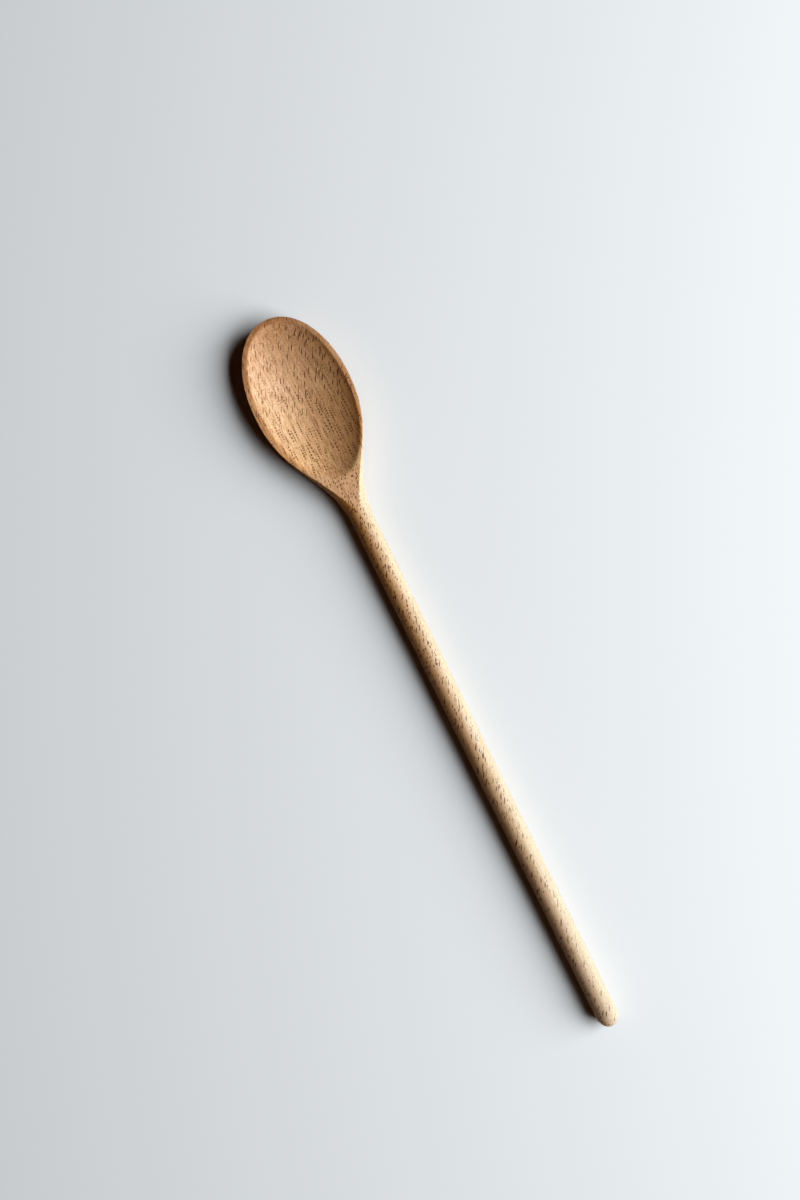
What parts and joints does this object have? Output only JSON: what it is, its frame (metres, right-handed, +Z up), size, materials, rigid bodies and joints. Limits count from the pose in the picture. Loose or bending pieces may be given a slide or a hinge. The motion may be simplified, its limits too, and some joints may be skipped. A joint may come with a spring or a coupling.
{
  "type": "stirring spoon",
  "caption": "Wooden stirring spoon cut from one piece, with a long round handle, a flared neck planed flat on top and a shallow oval bowl, for stirring, tasting and serving.",
  "frame": {"origin": "middle of the spoon's length and width, on the surface that it lies on", "axes": "+X along the handle towards the bowl's tip, +Y across the bowl, +Z up out of the bowl's hollow"},
  "size_m": [0.35, 0.0464, 0.0105],
  "materials": {
    "beech": "raw beech, sanded smooth, matte to satin, unvarnished"
  },
  "bodies": {
    "root": {"spoon": "beech"}
  },
  "joints": []
}
